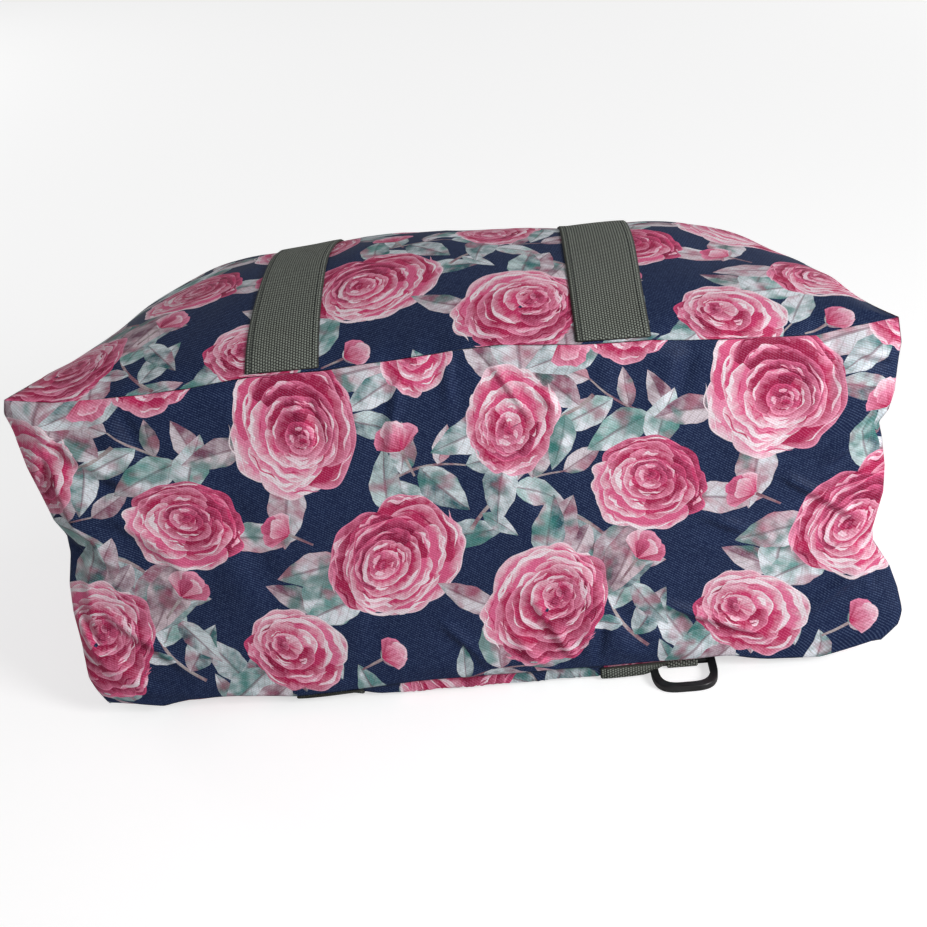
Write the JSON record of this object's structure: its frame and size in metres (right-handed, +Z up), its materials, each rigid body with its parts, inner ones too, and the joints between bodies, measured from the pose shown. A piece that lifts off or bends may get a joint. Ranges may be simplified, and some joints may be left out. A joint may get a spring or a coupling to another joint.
{
  "type": "soft travel holdall",
  "caption": "Soft zipped holdall of floral printed cloth with grey webbing handles, lying on one face, with a flat stiffened base, an arched top, pinched ends and a moulded strap ring.",
  "frame": {"origin": "under the middle of the overall box, on the surface that the bag lies on", "axes": "+X along the base to the right as seen by someone who faces the base, +Y from the base to the zipped mouth, +Z up, away from the surface that the bag lies on"},
  "size_m": [0.55, 0.55, 0.2616],
  "materials": {
    "printed_cloth": "twill-woven polyester with a rose print on navy, slightly sheeny",
    "webbing": "coarse grey-green woven webbing, matte",
    "lining_cloth": "plain thin lining cloth",
    "zip_tape_cloth": "woven navy zip tape",
    "zip_teeth": "coiled nylon teeth",
    "zip_metal": "cast metal, dull",
    "board": "plain sheet",
    "ring_plastic": "moulded, slightly scuffed"
  },
  "bodies": {
    "bag": {"base_panel": "printed_cloth", "front_panel": "printed_cloth", "back_panel": "printed_cloth", "left_end_panel": "printed_cloth", "right_end_panel": "printed_cloth", "front_zip_strip": "printed_cloth", "back_zip_strip": "printed_cloth", "left_zip_tab": "printed_cloth", "right_zip_tab": "printed_cloth", "base_board": "board", "lining": "lining_cloth", "front_zip_tape": "zip_tape_cloth", "back_zip_tape": "zip_tape_cloth", "front_zip_coil": "zip_teeth", "back_zip_coil": "zip_teeth", "front_handle": "webbing", "back_handle": "webbing", "strap_ring_tab": "webbing"},
    "left_slider": {"left_zip_slider": "zip_metal"},
    "right_slider": {"right_zip_slider": "zip_metal"},
    "left_puller": {"left_zip_puller": "zip_metal"},
    "right_puller": {"right_zip_puller": "zip_metal"},
    "ring": {"strap_ring": "ring_plastic"}
  },
  "joints": [
    {"name": "left_slider_slide", "type": "slide", "parent": "bag", "child": "left_slider", "axis": [-1, 0, 0], "range_m": [0, 0.165]},
    {"name": "right_slider_slide", "type": "slide", "parent": "bag", "child": "right_slider", "axis": [1, 0, 0], "range_m": [0, 0.165]},
    {"name": "left_puller_hinge", "type": "hinge", "parent": "left_slider", "child": "left_puller", "pos_m": [-0.009, 0.11432, 0.09206], "axis": [0, 0, -1], "range_deg": [0, 105]},
    {"name": "right_puller_hinge", "type": "hinge", "parent": "right_slider", "child": "right_puller", "pos_m": [0.009, 0.11432, 0.09206], "axis": [0, 0, 1], "range_deg": [0, 105]},
    {"name": "ring_hinge", "type": "hinge", "parent": "bag", "child": "ring", "pos_m": [0.135, -0.24597, 0.00391], "axis": [-1, 0, 0], "range_deg": [-95, 14]}
  ]
}
